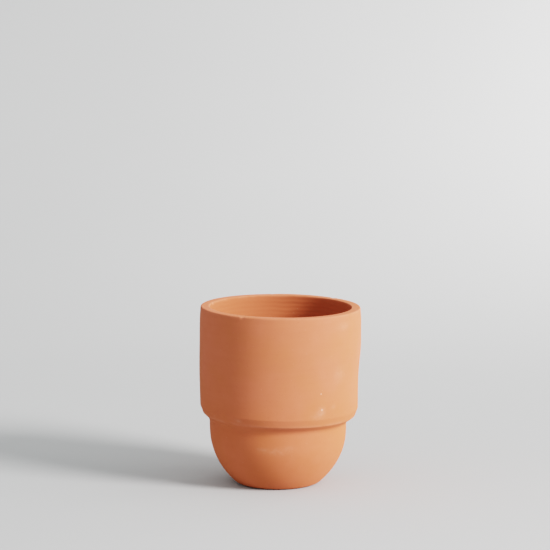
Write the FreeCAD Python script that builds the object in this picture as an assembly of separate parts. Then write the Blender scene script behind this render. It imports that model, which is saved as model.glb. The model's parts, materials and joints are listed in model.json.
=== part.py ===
import FreeCAD, Part
import math
import os

# Terracotta planter in two thrown clay sections. The upper collar is a nearly straight wall from
# the rim down to a bevelled step, and the lower bowl is a rounded vessel with a flat foot. They are
# luted end to end just below the crease under the step, where the clay is smoothed into a rounding.
# Units are millimetres. The origin is on the vertical axis, at the level of the foot. +Z is up.

# Driving dimensions
HEIGHT = 144.0                  # foot to rim
RIM_RADIUS = 65.0               # outside of the wall at the rim
MOUTH_RADIUS = 57.5             # inside of the wall at the rim
COLLAR_BASE_RADIUS = 63.7       # outside of the wall where the bevel begins
BEVEL_TOP_Z = 63.0
STEP_RADIUS = 61.6              # bottom of the bevel, where the step's underside begins
CREASE_Z = 52.2                 # corner where the step's underside would meet the bowl
JOINT_Z = 48.5                  # joint of the two sections
BOWL_RADIUS = 55.5              # outside of the bowl at the joint

RIM_OUTER_ROUND = 1.2
RIM_INNER_ROUND = 1.0
MOUTH_STRAIGHT_DEPTH = 30.0     # cylindrical stretch inside the mouth
BEVEL_ROUND = 3.0               # from the wall into the bevel
STEP_ROUND = 2.0                # from the bevel into the step's underside
STEP_SLOPE_DEG = 39.0           # rise of the step's underside from the crease outwards
CREASE_ROUND = 6.0              # from the step's underside into the bowl's wall
LEDGE_ROUND = 5.0               # both corners of the ledge inside the step

BOWL_CURVE_Z = 46.5             # the bowl is straight above this level and curves below it
BOWL_CURVE_RADIUS = 59.5
FOOT_ROUND = 2.5
FOOT_LIFT = 0.9                 # height of the foot's rounded edge above the ground
EDGE_FLAT = 0.6                 # level ring under that edge, before the foot slopes down to the ground
FLOOR_THICKNESS = 9.0
FLOOR_ROUND = 12.0              # from the inside of the bowl's wall into its floor
DRAIN_RADIUS = 6.0
DRAIN_EDGE_ROUND = 1.0

# Worked out from the driving dimensions
WALL = RIM_RADIUS - MOUTH_RADIUS
NECK_RADIUS = BOWL_RADIUS - WALL
BOWL_CURVE_CENTRE = BOWL_RADIUS - BOWL_CURVE_RADIUS
STEP_SLOPE = math.tan(math.radians(STEP_SLOPE_DEG))
# The inside ledge runs parallel to the step's underside, one wall thickness above it.
LEDGE_RISE = WALL / math.cos(math.radians(STEP_SLOPE_DEG))


def point(radius, z):
    """A point of the half section, in the XZ plane."""
    return FreeCAD.Vector(radius, 0, z)


def rounded_outline(corners):
    """Edges of a closed outline of (radius, z, rounding) corners, each rounding a tangent arc."""
    edges = []
    ends = []
    for index, (radius, z, rounding) in enumerate(corners):
        here = point(radius, z)
        before = point(*corners[index - 1][:2])
        after = point(*corners[(index + 1) % len(corners)][:2])
        into = (before - here).normalize()
        out = (after - here).normalize()
        half_angle = into.getAngle(out) / 2
        setback = rounding / math.tan(half_angle)
        start = here + into * setback
        end = here + out * setback
        if rounding > 0:
            bisector = (into + out).normalize()
            middle = here + bisector * (rounding / math.sin(half_angle) - rounding)
            edges.append(Part.Arc(start, middle, end).toShape())
        ends.append((start, end))
    for (_, leaving), (arriving, _) in zip(ends[-1:] + ends, ends):
        edges.append(Part.LineSegment(leaving, arriving).toShape())
    return edges


def revolved(edges):
    """The solid of one turn of a closed half section about the vertical axis."""
    wire = Part.Wire(Part.__sortEdges__(edges))
    solid = Part.Face(wire).revolve(FreeCAD.Vector(0, 0, 0), FreeCAD.Vector(0, 0, 1), 360)
    return Part.Solid(solid)


def on_curve(centre, radius, angle):
    """A point of the bowl's curve, at an angle below the level of its centre."""
    return point(centre[0] + radius * math.cos(angle), centre[1] - radius * math.sin(angle))


def bowl_curve(curve_radius, floor_z, rounding):
    """Arcs from the straight side down to a level floor, and the radius where the floor starts."""
    centre = (BOWL_CURVE_CENTRE, BOWL_CURVE_Z)
    inner = curve_radius - rounding
    angle = math.asin((BOWL_CURVE_Z - floor_z - rounding) / inner)
    round_centre = (centre[0] + inner * math.cos(angle), floor_z + rounding)
    side = Part.Arc(
        on_curve(centre, curve_radius, 0),
        on_curve(centre, curve_radius, angle / 2),
        on_curve(centre, curve_radius, angle),
    )
    corner = Part.Arc(
        on_curve(centre, curve_radius, angle),
        on_curve(round_centre, rounding, (angle + math.pi / 2) / 2),
        on_curve(round_centre, rounding, math.pi / 2),
    )
    return [side.toShape(), corner.toShape()], round_centre[0]


def upper_collar():
    """Rim, wall, bevel and step, with the ledge inside the step."""
    shoulder_radius = COLLAR_BASE_RADIUS - WALL
    ledge_at_crease = CREASE_Z + LEDGE_RISE
    corners = [
        (BOWL_RADIUS, JOINT_Z, 0),
        (BOWL_RADIUS, CREASE_Z, CREASE_ROUND),
        (STEP_RADIUS, CREASE_Z + (STEP_RADIUS - BOWL_RADIUS) * STEP_SLOPE, STEP_ROUND),
        (COLLAR_BASE_RADIUS, BEVEL_TOP_Z, BEVEL_ROUND),
        (RIM_RADIUS, HEIGHT, RIM_OUTER_ROUND),
        (MOUTH_RADIUS, HEIGHT, RIM_INNER_ROUND),
        (MOUTH_RADIUS, HEIGHT - MOUTH_STRAIGHT_DEPTH, 0),
        (shoulder_radius, ledge_at_crease + (shoulder_radius - BOWL_RADIUS) * STEP_SLOPE, LEDGE_ROUND),
        (NECK_RADIUS, ledge_at_crease + (NECK_RADIUS - BOWL_RADIUS) * STEP_SLOPE, LEDGE_ROUND),
        (NECK_RADIUS, JOINT_Z, 0),
    ]
    return revolved(rounded_outline(corners))


def lower_bowl():
    """Bowl with its foot, its floor and the drain hole through the floor."""
    outside, edge_radius = bowl_curve(BOWL_CURVE_RADIUS, FOOT_LIFT, FOOT_ROUND)
    slope_radius = edge_radius - EDGE_FLAT
    inside, floor_radius = bowl_curve(BOWL_CURVE_RADIUS - WALL, FLOOR_THICKNESS, FLOOR_ROUND)
    path = [
        point(edge_radius, FOOT_LIFT),
        point(slope_radius, FOOT_LIFT),
        point(slope_radius - FOOT_LIFT, 0),
        point(DRAIN_RADIUS, 0),
        point(DRAIN_RADIUS, FLOOR_THICKNESS),
        point(floor_radius, FLOOR_THICKNESS),
    ]
    rim = [
        point(NECK_RADIUS, BOWL_CURVE_Z),
        point(NECK_RADIUS, JOINT_Z),
        point(BOWL_RADIUS, JOINT_Z),
        point(BOWL_RADIUS, BOWL_CURVE_Z),
    ]
    edges = outside + inside
    for line in (path, rim):
        edges += [Part.LineSegment(a, b).toShape() for a, b in zip(line, line[1:])]
    bowl = revolved(edges)
    return bowl.makeFillet(DRAIN_EDGE_ROUND, drain_edges(bowl))


def drain_edges(bowl):
    """The two circles where the drain hole leaves the floor, above and below."""
    circles = [edge for edge in bowl.Edges if isinstance(edge.Curve, Part.Circle)]
    return [edge for edge in circles if math.isclose(edge.Curve.Radius, DRAIN_RADIUS)]


os.makedirs("parts", exist_ok=True)
for name, solid in (("upper_collar", upper_collar()), ("lower_bowl", lower_bowl())):
    print(name, "valid:", solid.isValid(), "volume mm3:", round(solid.Volume))
    solid.exportStep("parts/" + name + ".step")
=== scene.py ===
import json
import math

import bpy
import numpy as np
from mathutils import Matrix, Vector, noise


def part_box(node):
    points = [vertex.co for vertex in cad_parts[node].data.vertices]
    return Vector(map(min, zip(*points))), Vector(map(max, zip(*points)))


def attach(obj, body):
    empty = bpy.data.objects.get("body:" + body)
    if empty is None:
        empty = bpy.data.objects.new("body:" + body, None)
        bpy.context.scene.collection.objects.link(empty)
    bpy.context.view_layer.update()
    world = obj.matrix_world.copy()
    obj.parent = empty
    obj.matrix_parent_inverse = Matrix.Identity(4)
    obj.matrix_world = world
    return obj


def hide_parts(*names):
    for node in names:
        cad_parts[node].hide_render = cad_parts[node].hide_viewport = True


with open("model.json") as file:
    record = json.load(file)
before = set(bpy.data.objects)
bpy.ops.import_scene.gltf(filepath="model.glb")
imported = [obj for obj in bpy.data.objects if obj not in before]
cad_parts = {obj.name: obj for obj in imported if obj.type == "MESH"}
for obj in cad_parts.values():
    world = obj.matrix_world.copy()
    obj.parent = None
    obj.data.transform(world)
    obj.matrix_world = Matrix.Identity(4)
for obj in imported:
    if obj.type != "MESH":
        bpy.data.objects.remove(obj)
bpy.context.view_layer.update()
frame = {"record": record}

MM = 0.001

# ---------------------------------------------------------------- sizes that the frame gives
MOUNTS = {mount["name"]: mount for mount in frame["record"]["mounts"]}
COLLAR_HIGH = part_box("upper_collar")[1]
HEIGHT = COLLAR_HIGH.z
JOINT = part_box("lower_bowl")[1].z   # the level where the two pieces meet
RIM_RADIUS = COLLAR_HIGH.x
MOUTH_RADIUS = MOUNTS["mouth"]["dims"]["r_mm"] * MM
BOWL_RADIUS = MOUNTS["stack_spigot"]["dims"]["r_mm"] * MM
DRAIN_RADIUS = MOUNTS["drain_hole"]["dims"]["r_mm"] * MM
WALL = RIM_RADIUS - MOUTH_RADIUS
NECK_RADIUS = BOWL_RADIUS - WALL

# ---------------------------------------------------------------- the section's own shape
TAPER = 1.3 * MM                # how much narrower the collar is above its bevel than at the rim
RIM_OUTER_ROUND = 1.1 * MM
RIM_INNER_ROUND = 1.0 * MM
MOUTH_STRAIGHT = 30.0 * MM
MOUTH_BLEND = 300.0 * MM        # very slow curve from the straight mouth into the tapering wall
BEVEL_TOP = 63.0 * MM
BEVEL_ROUND = 3.0 * MM
STEP_INSET = 3.4 * MM           # how far inside the rim's radius the lower edge of the bevel lies
STEP_ROUND = 2.0 * MM
STEP_SLOPE = math.tan(math.radians(39))     # rise of the step's underside towards the outside
LEDGE_ROUND = 5.0 * MM
CREASE_RISE = 3.7 * MM          # from the joint up to the corner under the step
CREASE = JOINT + CREASE_RISE
CREASE_ROUND = 6.0 * MM         # clay smoothed into that corner
BOWL_CURVE_TOP = 46.5 * MM
BOWL_CURVE_RADIUS = 59.5 * MM
FOOT_ROUND = 2.5 * MM
FOOT_LIFT = 0.9 * MM            # the foot's rounded edge stands clear of the ground by this
EDGE_FLAT = 0.6 * MM            # level ring under that edge, before the foot slopes to the ground
STAND_ROUND = 0.3 * MM
FLOOR_THICKNESS = 9.0 * MM
FLOOR_ROUND = 12.0 * MM
DRAIN_EDGE = 1.0 * MM

# ---------------------------------------------------------------- mesh density
TURNS = 420                     # vertices round the pot
FINE = 0.85 * MM                # spacing along the section where it shows most
FINEST = FINE / 2               # in the crease
COARSE = 1.7 * MM
HIDDEN = 4 * COARSE             # on the flat ring where the two pieces meet
ARC_STEPS = 6                   # fewest steps in a rounding
SAME_POINT = 0.01 * MM          # points of a section nearer than this are one
SHARP_EDGE = math.radians(60)

# ---------------------------------------------------------------- how the hand left the form
# (height, how far the axis stands off to +X there), in mm
AXIS = ((0, 0.0), (51, 0.2), (57, 1.1), (86, 0.9), (118, 2.15), (144, 2.3))
TILT = 0.010                    # drop of a level ring towards +X, per unit of radius
STEP_TILT = 0.011               # further drop of the step towards +X
STEP_LEAN = 0.013               # drop of the step towards -Y
STEP_SPREAD = 26 * MM           # how far above and below the crease those two reach
FREE_FROM = 4 * MM              # the foot is true up to here, so that the pot stands flat
FREE_ABOVE = 30 * MM            # from here up the form is all as the hand left it
# (waves round the pot, size, phase in radians)
OUT_OF_ROUND = ((2, 0.16 * MM, 0.7), (3, 0.10 * MM, 2.1), (5, 0.05 * MM, 4.0))
BULGE = 0.55 * MM               # swelling of the collar a third of its height below the rim
BULGE_LEVEL = 112 * MM
BULGE_SPREAD = 16 * MM
TURNED_IN = 0.6 * MM            # how far the last few millimetres under the rim lean inwards
TURNED_IN_FROM = 133 * MM
BOWL_TUCK = 0.3 * MM            # the bowl is slightly pinched under the crease
BOWL_TUCK_LEVEL = 45 * MM
BOWL_TUCK_SPREAD = 9 * MM

# ---------------------------------------------------------------- relief of the clay's surface
# Noise over the clay: (size of the features, octaves, shift that sets each apart)
WAVES = (38 * MM, 2, 3.1)
RIDGE_WARP = (22 * MM, 2, 9.4)
LUMPS = (5.5 * MM, 3, 5.2)
WIRE_DRAG = (9 * MM, 2, 7.7)
NICK_EDGES = (1.6 * MM, 2, 2.6)
FRACTAL_INCREMENT = 0.9
LACUNARITY = 2.1

WAVE_HEIGHT = 0.14 * MM
LUMP_HEIGHT = 0.020 * MM
INNER_PITCH = 3.6 * MM          # of the throwing ridges inside
INNER_WARP = 2.4                # how far the noise shifts them, in radians
INNER_RIDGE = 0.045 * MM
INNER_RIDGE_CHANGE = 0.05 * MM  # how much the waves add to or take from a ridge's height
OUTER_PITCH = 5.4 * MM          # the same for the fainter ridges outside
OUTER_WARP = 3.0
OUTER_RIDGE = 0.002 * MM
OUTER_RIDGE_CHANGE = 0.002 * MM
LEVEL_RIDGE = 0.02 * MM         # on the floor and the rim
JOINT_FADE = 2 * MM             # the ridges fade within this of the joint
GROUND_FADE = 1.5 * MM          # the relief fades in over this height, so that the foot is flat

WIRE_PITCH = 2.9 * MM           # of the cutting wire's marks under the foot
WIRE_DEPTH = 0.22 * MM
WIRE_BEND = 4.0                 # how strongly the marks curve
WIRE_STRETCH = (1, 6, 1)        # their waver is drawn out along the wire's path
WIRE_WAVER = 2.2
WIRE_FROM = 9 * MM              # they have their full depth outside this radius

NICK_ROUGHNESS = 0.35           # how much the noise changes a nick's depth
NICK_WORN = 0.5 * MM            # a nick this deep is as pale as a rubbed edge
WEAR_REACH = 1.5 * MM           # how far the rubbing of an edge reaches
MOUTH_SHADE_EDGE = (2 * MM, 6 * MM)   # the painted shade of the inside begins this far below the rim

# ---------------------------------------------------------------- single marks
# Nicks and chips: (azimuth in degrees, height, distance from the axis, size, depth), in mm
NICKS = (
    (-118, 143.6, 64.6, 1.7, 0.45),
    (3, 143.6, 64.6, 1.6, 0.55),
    (47, 143.5, 64.4, 2.2, 0.5),
    (163, 143.4, 57.2, 1.8, 0.5),
    (96, 143.6, 64.5, 1.4, 0.4),
    (-146, 59.5, 62.5, 1.8, 0.3),
    (118, 60.0, 62.5, 2.0, 0.35),
    (20, 1.2, 34.0, 1.8, 0.3),
)
# Patches of pale lime bloom:
# (azimuth in degrees, height, reach round the pot and reach upwards in mm, strength)
BLOOMS = (
    (-58, 69.5, 3.0, 3.5, 0.65),
    (-62, 66, 5, 3, 0.4),
    (-48, 72, 2.5, 2, 0.25),
    (-90, 36.5, 11, 3.0, 0.42),
    (-80, 39.5, 4, 1.5, 0.3),
    (-103, 37, 4, 2, 0.3),
    (-40, 135, 6, 3, 0.35),
    (-42, 97, 6, 5, 0.35),
    (-121, 60.5, 3, 1.5, 0.5),
    (74, 28, 14, 5, 0.6),
    (140, 88, 12, 8, 0.4),
    (15, 52, 7, 4, 0.5),
)
# Single lime specks: (azimuth in degrees, height, distance from the axis, size), in mm
SPECKS = (
    (-57.3, 69.6, 64.0, 0.95),
    (-58.1, 82.5, 64.4, 0.6),
    (-49.1, 71.7, 64.0, 0.4),
    (-47.0, 72.4, 64.0, 0.35),
    (-62.0, 143.4, 66.0, 0.6),
)


# ---------------------------------------------------------------- smooth curves and places
def bump_at(z, centre, width):
    """A smooth hill of height 1 round a level."""
    return np.exp(-(((z - centre) / width) ** 2))


def ramp(z, start, end):
    """A smooth rise from 0 at start to 1 at end."""
    share = np.clip((z - start) / (end - start), 0, 1)
    return share * share * (3 - 2 * share)


def eased(z, stations):
    """A smooth line through (height, value) stations in mm, level at each of them."""
    value = np.full_like(z, stations[0][1] * MM)
    for (low, before), (high, after) in zip(stations, stations[1:]):
        value += (after - before) * MM * ramp(z, low * MM, high * MM)
    return value


def place_at(azimuth, height, distance):
    """A point by its direction from the axis, in degrees, and its height and distance, in mm."""
    angle = math.radians(azimuth)
    return np.array((distance * math.cos(angle), distance * math.sin(angle), height)) * MM


# ---------------------------------------------------------------- section outlines
def rounded_path(corners):
    """Points along closed (radius, z, rounding, spacing) corners, each corner rounded by an arc."""
    arcs = []
    for index, (radius, z, rounding, spacing) in enumerate(corners):
        here = np.array((radius, z))
        into = np.array(corners[index - 1][:2]) - here
        out = np.array(corners[(index + 1) % len(corners)][:2]) - here
        into /= np.linalg.norm(into)
        out /= np.linalg.norm(out)
        half = math.acos(np.clip(into @ out, -1, 1)) / 2
        if rounding == 0:
            arcs.append([here])
            continue
        middle = (into + out) / np.linalg.norm(into + out)
        across = (out - into) / np.linalg.norm(out - into)
        centre = here + middle * rounding / math.sin(half)
        turn = math.pi - 2 * half
        steps = max(ARC_STEPS, round(rounding * turn / spacing))
        angles = np.linspace(-turn / 2, turn / 2, steps + 1)
        arcs.append([
            centre + rounding * (across * math.sin(angle) - middle * math.cos(angle))
            for angle in angles
        ])
    path = []
    for index, arc in enumerate(arcs):
        path += arc
        following = arcs[(index + 1) % len(arcs)][0]
        run = following - arc[-1]
        steps = max(1, round(np.linalg.norm(run) / corners[index][3]))
        path += [arc[-1] + run * step / steps for step in range(1, steps)]
    path = np.array(path)
    gaps = np.linalg.norm(np.roll(path, -1, axis=0) - path, axis=1)
    return path[gaps > SAME_POINT]


def bowl_corners(curve_radius, floor_z, floor_round, spacing):
    """The two corners whose roundings make the bowl's curve and the turn into a level floor."""
    centre_radius = BOWL_RADIUS - BOWL_CURVE_RADIUS
    angle = math.asin((BOWL_CURVE_TOP - floor_z - floor_round) / (curve_radius - floor_round))
    side = centre_radius + curve_radius
    end_radius = centre_radius + curve_radius * math.cos(angle)
    end_z = BOWL_CURVE_TOP - curve_radius * math.sin(angle)
    floor_radius = end_radius - (end_z - floor_z) * math.tan(angle)
    return [
        (side, BOWL_CURVE_TOP - curve_radius * math.tan(angle / 2), curve_radius, spacing),
        (floor_radius, floor_z, floor_round, spacing),
    ]


def step_edge():
    """Radius and height of the corner between the bevel and the step's underside."""
    radius = RIM_RADIUS - STEP_INSET
    return radius, CREASE + (radius - BOWL_RADIUS) * STEP_SLOPE


def collar_path():
    """The collar's section: up its outside, over the rim and down its inside to the joint."""
    base = RIM_RADIUS - TAPER
    shoulder = base - WALL
    ledge = CREASE + WALL / math.cos(math.atan(STEP_SLOPE))
    return rounded_path([
        (BOWL_RADIUS, JOINT, 0, FINEST),
        (BOWL_RADIUS, CREASE, CREASE_ROUND, FINEST),
        (*step_edge(), STEP_ROUND, FINE),
        (base, BEVEL_TOP, BEVEL_ROUND, FINE),
        (RIM_RADIUS, HEIGHT, RIM_OUTER_ROUND, FINE),
        (MOUTH_RADIUS, HEIGHT, RIM_INNER_ROUND, FINE),
        (MOUTH_RADIUS, HEIGHT - MOUTH_STRAIGHT, MOUTH_BLEND, COARSE),
        (shoulder, ledge + (shoulder - BOWL_RADIUS) * STEP_SLOPE, LEDGE_ROUND, COARSE),
        (NECK_RADIUS, ledge + (NECK_RADIUS - BOWL_RADIUS) * STEP_SLOPE, LEDGE_ROUND, COARSE),
        (NECK_RADIUS, JOINT, 0, HIDDEN),
    ])


def foot_edge():
    """Radius at which the foot's rounding has turned level."""
    inner = BOWL_CURVE_RADIUS - FOOT_ROUND
    drop = BOWL_CURVE_TOP - FOOT_LIFT - FOOT_ROUND
    return BOWL_RADIUS - BOWL_CURVE_RADIUS + math.sqrt(inner * inner - drop * drop)


def bowl_path():
    """The bowl's section: down its inside from the joint, round the foot and up its outside."""
    outside = bowl_corners(BOWL_CURVE_RADIUS, FOOT_LIFT, FOOT_ROUND, FINE)
    slope = foot_edge() - EDGE_FLAT
    inside = bowl_corners(BOWL_CURVE_RADIUS - WALL, FLOOR_THICKNESS, FLOOR_ROUND, COARSE)
    corners = [(BOWL_RADIUS, JOINT, 0, HIDDEN), (NECK_RADIUS, JOINT, 0, COARSE)]
    corners += inside
    corners += [
        (DRAIN_RADIUS, FLOOR_THICKNESS, DRAIN_EDGE, FINE),
        (DRAIN_RADIUS, 0, DRAIN_EDGE, FINE),
        (slope - FOOT_LIFT, 0, STAND_ROUND, FINE),
        (slope, FOOT_LIFT, STAND_ROUND, FINE),
    ]
    corners += outside[::-1]
    return rounded_path(corners)


# ---------------------------------------------------------------- from section to clay
def section_frame(path):
    """Distance along a closed path, and the outward normal at each of its points.

    On the joint's two rings the normal is level, so that both pieces' clay moves alike there.
    """
    ahead = np.roll(path, -1, axis=0)
    steps = np.linalg.norm(ahead - path, axis=1)
    along = np.concatenate(([0], np.cumsum(steps)[:-1]))
    tangent = ahead - np.roll(path, 1, axis=0)
    tangent /= np.linalg.norm(tangent, axis=1)[:, None]
    normal = np.stack((tangent[:, 1], -tangent[:, 0]), axis=1)
    at_joint = np.isclose(path[:, 1], JOINT)
    normal[at_joint, 0] = np.sign(path[at_joint, 0] - (BOWL_RADIUS + NECK_RADIUS) / 2)
    normal[at_joint, 1] = 0
    return along, normal


def field(points, scale, octaves, shift):
    """Fractal noise of about -1 to 1 at each point, with features of about the scale's size."""
    places = (points.reshape(-1, 3) / scale + shift).tolist()
    values = [noise.fractal(place, FRACTAL_INCREMENT, LACUNARITY, octaves) for place in places]
    return np.array(values).reshape(points.shape[:-1])


def relief(points, along, normal, angle):
    """Height of the clay's surface over its true form: throwing ridges, waves and small lumps.

    The ridges fade out at the joint, since each piece counts them along its own section.
    """
    outward = np.clip(normal[:, :1], 0, 1)
    inward = np.clip(-normal[:, :1], 0, 1)
    upward = np.clip(normal[:, 1:], 0, 1)
    waves = field(points, *WAVES)
    warp = field(points, *RIDGE_WARP)
    lumps = field(points, *LUMPS)
    turns = 2 * math.pi * along[:, None]
    inner_wave = np.sin(turns / INNER_PITCH - angle + INNER_WARP * warp)
    outer_wave = np.sin(turns / OUTER_PITCH - angle + OUTER_WARP * warp)
    ridges = inward * inner_wave * (INNER_RIDGE + INNER_RIDGE_CHANGE * waves)
    ridges += outward * outer_wave * (OUTER_RIDGE + OUTER_RIDGE_CHANGE * waves)
    ridges += upward * inner_wave * LEVEL_RIDGE
    ridges *= 1 - bump_at(points[..., 2], JOINT, JOINT_FADE)
    return WAVE_HEIGHT * waves + LUMP_HEIGHT * lumps + ridges


def wire_marks(points):
    """Depth of the shallow arcs that the cutting wire left across the underside of the foot."""
    x, y = points[..., 0], points[..., 1]
    sweep = y + WIRE_BEND * x * x
    drag = field(points * WIRE_STRETCH, *WIRE_DRAG)
    wave = np.sin(2 * math.pi * sweep / WIRE_PITCH + WIRE_WAVER * drag)
    return (0.5 + 0.5 * wave) * WIRE_DEPTH


def nicked(points):
    """How deep the nicks and chips go at each point, with uneven edges."""
    depth = np.zeros(points.shape[:-1])
    rough = 1 + NICK_ROUGHNESS * field(points, *NICK_EDGES)
    for azimuth, height, distance, size, deep in NICKS:
        away = np.linalg.norm(points - place_at(azimuth, height, distance), axis=-1)
        depth += deep * MM * np.exp(-((away / (size * MM)) ** 4)) * rough
    return depth


def by_hand(points):
    """Moves true points to where a hand-thrown pot has them. The foot stays flat on the ground."""
    x, y, z = (points[..., axis] for axis in range(3))
    angle = np.arctan2(y, x)
    free = ramp(z, FREE_FROM, FREE_ABOVE)
    swell = free * sum(size * np.cos(order * angle + phase) for order, size, phase in OUT_OF_ROUND)
    swell += BULGE * bump_at(z, BULGE_LEVEL, BULGE_SPREAD)
    swell -= TURNED_IN * ramp(z, TURNED_IN_FROM, HEIGHT)
    swell -= BOWL_TUCK * bump_at(z, BOWL_TUCK_LEVEL, BOWL_TUCK_SPREAD)
    x = x + swell * np.cos(angle)
    y = y + swell * np.sin(angle)
    step = free * bump_at(z, CREASE, STEP_SPREAD)
    drop = (TILT * free + STEP_TILT * step) * x - STEP_LEAN * step * y
    return np.stack((x + eased(z, AXIS), y, np.maximum(z - drop, 0)), axis=-1)


def lime_bloom(points):
    """How much pale lime bloom lies at each point, from 0 to 1."""
    azimuth = np.arctan2(points[..., 1], points[..., 0])
    radius = np.hypot(points[..., 0], points[..., 1])
    bloom = np.zeros(points.shape[:-1])
    for degrees, height, round_reach, up_reach, strength in BLOOMS:
        turn = (azimuth - math.radians(degrees) + math.pi) % (2 * math.pi) - math.pi
        reach = (turn * radius / (round_reach * MM)) ** 2
        reach += ((points[..., 2] - height * MM) / (up_reach * MM)) ** 2
        bloom += strength * np.exp(-reach)
    return np.clip(bloom, 0, 1)


def edge_wear(path):
    """How much each point of a section is rubbed, from 0 to 1: most on its convex edges."""
    edges = ((RIM_RADIUS, HEIGHT), (MOUTH_RADIUS, HEIGHT), step_edge())
    away = [np.linalg.norm(path - edge, axis=1) / WEAR_REACH for edge in edges]
    return sum(np.exp(-(distance ** 2)) for distance in away)


def inside_shade_share(z, normal):
    """How much painted shade each point of a section gets as part of the pot's inside, from 0 to 1.
    """
    upward = ramp(normal[:, 1:], 0, 0.5)
    below_rim = ramp(z, *(HEIGHT - depth for depth in MOUTH_SHADE_EDGE))
    return np.clip(upward * below_rim - normal[:, :1], 0, 1)


def around(radial, level, angle):
    """Turns columns of radial and level parts round the axis into rows of (x, y, z)."""
    parts = (radial * np.cos(angle), radial * np.sin(angle), level)
    return np.stack(np.broadcast_arrays(*parts), axis=-1)


def ring_faces(rows):
    """The corners of the squares between neighbouring rings of a closed section."""
    row, turn = np.meshgrid(np.arange(rows), np.arange(TURNS), indexing="ij")
    next_row, next_turn = (row + 1) % rows, (turn + 1) % TURNS
    corners = ((row, turn), (row, next_turn), (next_row, next_turn), (next_row, turn))
    return np.stack([ring * TURNS + place for ring, place in corners], axis=-1).reshape(-1, 4)


def add_values(mesh, name, values):
    """Stores one number for each vertex under a name that a material can read."""
    layer = mesh.attributes.new(name, "FLOAT", "POINT")
    layer.data.foreach_set("value", np.ascontiguousarray(values, dtype=np.float32).ravel())


def turned(name, path):
    """A closed mesh of one turn of the section, with its surface relief."""
    along, normal = section_frame(path)
    angle = np.arange(TURNS)[None] * 2 * math.pi / TURNS
    radius, z = path[:, :1], path[:, 1:]
    points = around(radius, z, angle)
    facing = around(normal[:, :1], normal[:, 1:], angle)
    off_ground = ramp(z, 0, GROUND_FADE)
    nicks = nicked(points)
    underside = np.clip(-normal[:, 1:], 0, 1) * (1 - off_ground)
    underside *= ramp(radius, DRAIN_RADIUS, WIRE_FROM)
    height = relief(points, along, normal, angle) * off_ground - nicks
    height -= underside * wire_marks(points)
    shaped = by_hand(points + facing * height[..., None])
    mesh = bpy.data.meshes.new(name)
    mesh.from_pydata(shaped.reshape(-1, 3).tolist(), [], ring_faces(len(path)).tolist())
    mesh.set_sharp_from_angle(angle=SHARP_EDGE)
    # painted shade: marks the inside of the pot for a darker colour
    add_values(mesh, "inside", np.broadcast_to(inside_shade_share(z, normal), nicks.shape))
    add_values(mesh, "bloom", lime_bloom(points))
    add_values(mesh, "wear", edge_wear(path)[:, None] + nicks / NICK_WORN)
    piece = bpy.data.objects.new(name, mesh)
    bpy.context.scene.collection.objects.link(piece)
    return piece


# ---------------------------------------------------------------- material nodes
def node(tree, kind, sockets, **settings):
    """Adds a node. Each socket, by its identifier, is given a value or another node's output."""
    made = tree.nodes.new("ShaderNode" + kind)
    for key, value in settings.items():
        setattr(made, key, value)
    by_name = {socket.identifier: socket for socket in made.inputs}
    for key, value in sockets.items():
        if isinstance(value, bpy.types.NodeSocket):
            tree.links.new(value, by_name[key])
        else:
            by_name[key].default_value = value
    return made


def maths(tree, operation, first, second):
    """One operation on two numbers."""
    made = node(tree, "Math", {"Value": first, "Value_001": second}, operation=operation)
    return made.outputs["Value"]


def product(tree, first, second):
    """Two numbers multiplied."""
    return maths(tree, "MULTIPLY", first, second)


def stretched(tree, value, low, high, to_low=0.0, to_high=1.0):
    """Maps low..high of a value to to_low..to_high, smoothly and without going past the ends."""
    sockets = {"Value": value, "From Min": low, "From Max": high}
    sockets |= {"To Min": to_low, "To Max": to_high}
    return node(tree, "MapRange", sockets, interpolation_type="SMOOTHSTEP").outputs["Result"]


def mixed(tree, factor, first, second, blend="MIX"):
    """A colour between two others, or with MULTIPLY the first tinted by the second."""
    sockets = {"Factor_Float": factor, "A_Color": first, "B_Color": second}
    made = node(tree, "Mix", sockets, data_type="RGBA", blend_type=blend)
    return next(output for output in made.outputs if output.identifier == "Result_Color")


def noise_at(tree, where, size, detail, roughness=0.5):
    """Noise from 0 to 1 with features of about a size."""
    sockets = {"Vector": where, "Scale": 1 / size, "Detail": detail, "Roughness": roughness}
    return node(tree, "TexNoise", sockets).outputs["Fac"]


def dots_at(tree, where, spacing):
    """Distance to the nearest of many scattered dots, in parts of their spacing.

    The second value is a node that splits each dot's own random colour into its channels.
    """
    cells = node(tree, "TexVoronoi", {"Vector": where, "Scale": 1 / spacing})
    channels = node(tree, "SeparateColor", {"Color": cells.outputs["Color"]})
    return cells.outputs["Distance"], channels


def dots_of(tree, dots, channel, edge, picked):
    """Some of the dots, from 0 to 1. The edge is in parts of their spacing."""
    distance, channels = dots
    cover = stretched(tree, distance, *edge, 1.0, 0.0)
    return product(tree, cover, stretched(tree, channels.outputs[channel], *picked))


def vertex_value(tree, name):
    """A number that the mesh stores for each vertex."""
    return node(tree, "Attribute", {}, attribute_name=name).outputs["Fac"]


def new_material(name):
    """A material, its node tree, its shader and the place on the piece in metres."""
    material = bpy.data.materials.new(name)
    material.use_nodes = True
    tree = material.node_tree
    where = node(tree, "TexCoord", {}).outputs["Object"]
    return material, tree, tree.nodes["Principled BSDF"], where


# ---------------------------------------------------------------- the clay's material
CLAY = (0.495, 0.152, 0.081, 1)
CLAY_PINK = (0.510, 0.159, 0.090, 1)
CLAY_OCHRE = (0.485, 0.153, 0.075, 1)
CLAY_DARK = (0.400, 0.115, 0.058, 1)
# painted shade: a darker, deeper clay colour for the inside of the pot
CLAY_INSIDE_SHADE = (0.420, 0.122, 0.056, 1)
GROG = (0.330, 0.086, 0.045, 1)
LIME = (0.640, 0.330, 0.236, 1)
RUBBED = (0.540, 0.183, 0.105, 1)
LOW_SHADE_TINT = (0.980, 0.930, 0.830, 1)     # painted shade: the clay's colour is darkened towards the foot
LOW_SHADE_RANGE = (20 * MM, 110 * MM)         # all below the first height, none above the second

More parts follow.
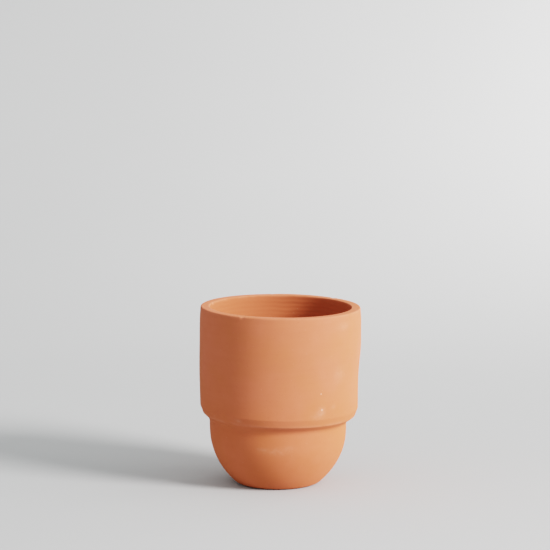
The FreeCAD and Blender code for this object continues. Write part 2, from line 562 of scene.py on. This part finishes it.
# Noise in the clay: (size of the features, detail)
PATCHES = (42 * MM, 2.0)
MOTTLE = (9 * MM, 3.0)
STREAKS = (30 * MM, 2.0)
GRAIN = (0.55 * MM, 3.0, 0.65)
HAZE = (2.4 * MM, 3.0)
STREAK_SQUEEZE = 9.0            # the streaks are this much narrower than they are long

# Scattered dots: the spacing, and (channel that picks them, a dot's edge, the values picked)
GROG_SPACING = 1.9 * MM
PORE_SPACING = 3.1 * MM
GROG_DOTS = ("Red", (0.08, 0.16), (0.55, 0.75))
LIME_DOTS = ("Blue", (0.05, 0.15), (0.90, 0.96))
PORE_DOTS = ("Green", (0.05, 0.11), (0.60, 0.75))
SPECK_EDGE = (0.5, 1.4)         # a speck fades between these parts of its size

# From a noise value to a strength: (noise from, noise to, strength from, strength to)
PATCH_COVER = (0.35, 0.65)
MOTTLE_COVER = (0.25, 0.75, 0.0, 0.7)
STREAK_COVER = (0.35, 0.85, 0.0, 0.10)
GRAIN_COVER = (0.55, 0.85, 0.0, 0.25)
BLOOM_COVER = (0.30, 0.75, 0.15, 0.45)
WEAR_COVER = (0.35, 0.60, 0.15, 0.6)
GRAIN_ROUGHNESS = (0.30, 0.70, 0.82, 0.94)

# strength of the painted shade inside the pot
INSIDE_SHADE_COVER = 0.85
GROG_COVER = 0.55
LIME_COVER = 0.6
PORE_COVER = 0.6
SPECK_COVER = 0.85
BLOOM_ROUGHNESS = 0.08          # how much rougher the bloom is than the clay
CLAY_SPECULAR = 0.12
CLAY_DIFFUSE_ROUGHNESS = 0.35

# What each mark adds to the fine relief
BUMP_PARTS = (("grain", 0.5), ("streaks", 0.08), ("grog", 0.15), ("pores", -1.6))
BUMP_STRENGTH = 0.6
BUMP_HEIGHT = 0.06 * MM


def ring_place(tree, where):
    """Coordinates that are drawn out round the pot, for marks left by turning it."""
    split = node(tree, "SeparateXYZ", {"Vector": where})
    x, y, z = (split.outputs[axis] for axis in "XYZ")
    flat = node(tree, "CombineXYZ", {"X": x, "Y": y})
    radius = node(tree, "VectorMath", {"Vector": flat.outputs["Vector"]}, operation="LENGTH")
    along = maths(tree, "SUBTRACT", z, radius.outputs["Value"])
    sockets = {"X": x, "Y": y, "Z": product(tree, along, STREAK_SQUEEZE)}
    return node(tree, "CombineXYZ", sockets).outputs["Vector"]


def speck_cover(tree, where):
    """Where the single lime specks lie, from 0 to 1."""
    cover = 0.0
    for azimuth, height, distance, size in SPECKS:
        sockets = {"Vector": where, "Vector_001": place_at(azimuth, height, distance).tolist()}
        away = node(tree, "VectorMath", sockets, operation="DISTANCE").outputs["Value"]
        edge = (share * size * MM for share in SPECK_EDGE)
        cover = maths(tree, "MAXIMUM", cover, stretched(tree, away, *edge, 1.0, 0.0))
    return cover


def clay_marks(tree, where):
    """What marks the clay, and the painted shade inside the pot, by name, each a number from 0 to 1
    over the surface.
    """
    grog_dots = dots_at(tree, where, GROG_SPACING)
    pore_dots = dots_at(tree, where, PORE_SPACING)
    mottle = noise_at(tree, where, *MOTTLE)
    haze = stretched(tree, noise_at(tree, where, *HAZE), *BLOOM_COVER)
    uneven_wear = stretched(tree, mottle, *WEAR_COVER)
    return {
        "patches": noise_at(tree, where, *PATCHES),
        "mottle": mottle,
        "streaks": noise_at(tree, ring_place(tree, where), *STREAKS),
        "grain": noise_at(tree, where, *GRAIN),
        "grog": dots_of(tree, grog_dots, *GROG_DOTS),
        "lime": dots_of(tree, grog_dots, *LIME_DOTS),
        "pores": dots_of(tree, pore_dots, *PORE_DOTS),
        "specks": speck_cover(tree, where),
        # painted shade inside the pot
        "inside": vertex_value(tree, "inside"),
        "bloom": product(tree, vertex_value(tree, "bloom"), haze),
        "wear": product(tree, vertex_value(tree, "wear"), uneven_wear),
    }


def clay_colour(tree, where, marks):
    """The firing colour, with painted shade inside the pot and towards the foot, and the marks that
    lie over it.
    """
    height = node(tree, "SeparateXYZ", {"Vector": where}).outputs["Z"]
    below = (
        (stretched(tree, marks["mottle"], *MOTTLE_COVER), CLAY),
        (stretched(tree, marks["streaks"], *STREAK_COVER), CLAY_DARK),
        (stretched(tree, marks["grain"], *GRAIN_COVER), CLAY_DARK),
        # painted shade: the inside of the pot is made darker
        (product(tree, marks["inside"], INSIDE_SHADE_COVER), CLAY_INSIDE_SHADE),
    )
    above = (
        (marks["wear"], RUBBED),
        (marks["bloom"], LIME),
        (product(tree, marks["grog"], GROG_COVER), GROG),
        (product(tree, marks["lime"], LIME_COVER), LIME),
        (product(tree, marks["pores"], PORE_COVER), GROG),
        (product(tree, marks["specks"], SPECK_COVER), LIME),
    )
    colour = mixed(tree, stretched(tree, marks["patches"], *PATCH_COVER), CLAY_OCHRE, CLAY_PINK)
    for cover, tone in below:
        colour = mixed(tree, cover, colour, tone)
    # painted shade: darker towards the foot
    low = stretched(tree, height, *LOW_SHADE_RANGE, 1.0, 0.0)
    colour = mixed(tree, low, colour, LOW_SHADE_TINT, "MULTIPLY")
    for cover, tone in above:
        colour = mixed(tree, cover, colour, tone)
    return colour


def terracotta():
    """Dry, matt, unglazed clay."""
    material, tree, shader, where = new_material("terracotta")
    marks = clay_marks(tree, where)
    tree.links.new(clay_colour(tree, where, marks), shader.inputs["Base Color"])

    rough = stretched(tree, marks["grain"], *GRAIN_ROUGHNESS)
    rough = maths(tree, "ADD", rough, product(tree, marks["bloom"], BLOOM_ROUGHNESS))
    tree.links.new(rough, shader.inputs["Roughness"])
    shader.inputs["Specular IOR Level"].default_value = CLAY_SPECULAR
    shader.inputs["Diffuse Roughness"].default_value = CLAY_DIFFUSE_ROUGHNESS

    surface = 0.0
    for name, share in BUMP_PARTS:
        surface = maths(tree, "ADD", surface, product(tree, marks[name], share))
    sockets = {"Height": surface, "Strength": BUMP_STRENGTH, "Distance": BUMP_HEIGHT}
    bump = node(tree, "Bump", sockets)
    tree.links.new(bump.outputs["Normal"], shader.inputs["Normal"])
    return material


# ---------------------------------------------------------------- stage
SWEEP_START = 0.50              # where the floor begins to rise, behind the pot
SWEEP_RADIUS = 2.2
SWEEP_STEPS = 48
STAGE_WIDTH = 5.0               # to each side
STAGE_FRONT = -4.0
PAINT_DARK = (0.421, 0.438, 0.440, 1)
PAINT_PALE = (0.431, 0.448, 0.450, 1)
PAINT_CLOUDS = (0.5, 2.0)
PAINT_COVER = (0.3, 0.7)
PAINT_ROUGHNESS = 0.95
PAINT_SPECULAR = 0.2


def backdrop_grey():
    """Matt paint, very slightly uneven."""
    material, tree, shader, where = new_material("backdrop_grey")
    clouds = stretched(tree, noise_at(tree, where, *PAINT_CLOUDS), *PAINT_COVER)
    tree.links.new(mixed(tree, clouds, PAINT_DARK, PAINT_PALE), shader.inputs["Base Color"])
    shader.inputs["Roughness"].default_value = PAINT_ROUGHNESS
    shader.inputs["Specular IOR Level"].default_value = PAINT_SPECULAR
    return material


def studio_sweep():
    """A level floor that curves up behind the object into a wall."""
    section = [(STAGE_FRONT, 0.0), (SWEEP_START, 0.0)]
    for step in range(1, SWEEP_STEPS + 1):
        angle = math.pi / 2 * step / SWEEP_STEPS
        section.append((
            SWEEP_START + SWEEP_RADIUS * math.sin(angle),
            SWEEP_RADIUS * (1 - math.cos(angle)),
        ))
    points = [(side * STAGE_WIDTH, y, z) for y, z in section for side in (-1, 1)]
    faces = [(2 * i, 2 * i + 1, 2 * i + 3, 2 * i + 2) for i in range(len(section) - 1)]
    mesh = bpy.data.meshes.new("studio_sweep")
    mesh.from_pydata(points, [], faces)
    mesh.shade_smooth()
    mesh.materials.append(backdrop_grey())
    sweep = bpy.data.objects.new("studio_sweep", mesh)
    bpy.context.scene.collection.objects.link(sweep)


# ---------------------------------------------------------------- light and camera
# Azimuth 0 is towards +X and -90 towards the viewer. Angles are in degrees, distances in metres.
KEY_AZIMUTH = -31.0
KEY_ELEVATION = 24.5
KEY_DISTANCE = 3.2
KEY_SIZE = 1.10
KEY_POWER = 197.0
SIDE_AZIMUTH = -2
SIDE_ELEVATION = 8
SIDE_DISTANCE = 2.2
SIDE_SIZE = 1.4
SIDE_POWER = 28.0
BACK_PLACE = (1.05, 1.15, 0.62)     # of the lamp that lights the backdrop
BACK_AIM = (0.0, 1.6, 0.2)
BACK_CONE = 150.0
BACK_SIZE = 0.3
BACK_POWER = 76.0
SKY = 0.74
WARM = (1.06, 1.0, 0.99)        # the lamps, against the neutral light of the room

CAMERA_DISTANCE = 2.026
CAMERA_AZIMUTH = -90
CAMERA_ELEVATION = 11.06
CAMERA_LENS = 163.6
CAMERA_SENSOR = 36
VIEW_CENTRE = (0.0, 0.0, 72.9 * MM)
AIM = (-2.25 * MM, 0.0, 169.2 * MM)


def aimed(thing, place, target):
    """Puts a light or camera at a place, turned to look at a target."""
    owner = bpy.data.objects.new(thing.name, thing)
    bpy.context.scene.collection.objects.link(owner)
    owner.location = place
    owner.rotation_euler = (Vector(target) - Vector(place)).to_track_quat("-Z", "Y").to_euler()
    return owner


def from_centre(distance, azimuth, elevation, centre):
    """A place at a distance and in a direction from a centre."""
    a, e = math.radians(azimuth), math.radians(elevation)
    away = Vector((math.cos(e) * math.cos(a), math.cos(e) * math.sin(a), math.sin(e)))
    return Vector(centre) + distance * away


def area_light(name, place, target, size, power):
    """A round soft lamp that the camera doesn't see."""
    light = bpy.data.lights.new(name, "AREA")
    light.shape = "DISK"
    light.size = size
    light.energy = power
    light.color = WARM
    aimed(light, place, target).visible_camera = False


def wall_light():
    """A lamp beside and behind the object that brightens one side of the backdrop."""
    light = bpy.data.lights.new("wall_light", "SPOT")
    light.energy = BACK_POWER
    light.color = WARM
    light.spot_size = math.radians(BACK_CONE)
    light.spot_blend = 1.0
    light.shadow_soft_size = BACK_SIZE
    aimed(light, BACK_PLACE, BACK_AIM)


def studio_light():
    """The main lamp, a weak one at the side, one for the backdrop, and an even room."""
    centre = (0, 0, HEIGHT / 2)
    key = from_centre(KEY_DISTANCE, KEY_AZIMUTH, KEY_ELEVATION, centre)
    area_light("key_light", key, centre, KEY_SIZE, KEY_POWER)
    side = from_centre(SIDE_DISTANCE, SIDE_AZIMUTH, SIDE_ELEVATION, centre)
    area_light("side_light", side, centre, SIDE_SIZE, SIDE_POWER)
    wall_light()
    world = bpy.data.worlds.new("studio")
    world.use_nodes = True
    world.node_tree.nodes["Background"].inputs["Color"].default_value = (SKY, SKY, SKY, 1)
    bpy.context.scene.world = world


def camera():
    """A long lens, looking slightly down on the pot, which stands low in the view."""
    lens = bpy.data.cameras.new("camera")
    lens.lens = CAMERA_LENS
    lens.sensor_width = CAMERA_SENSOR
    place = from_centre(CAMERA_DISTANCE, CAMERA_AZIMUTH, CAMERA_ELEVATION, VIEW_CENTRE)
    bpy.context.scene.camera = aimed(lens, place, AIM)


# ---------------------------------------------------------------- assembly
clay = terracotta()
for piece_name, node_name, path in (
    ("collar_shell", "upper_collar", collar_path()),
    ("bowl_shell", "lower_bowl", bowl_path()),
):
    shell = turned(piece_name, path)
    shell.data.materials.append(clay)
    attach(shell, "root")
    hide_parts(node_name)

studio_sweep()
studio_light()
camera()
bpy.context.scene.view_settings.view_transform = "Filmic"
bpy.context.scene.view_settings.look = "High Contrast"
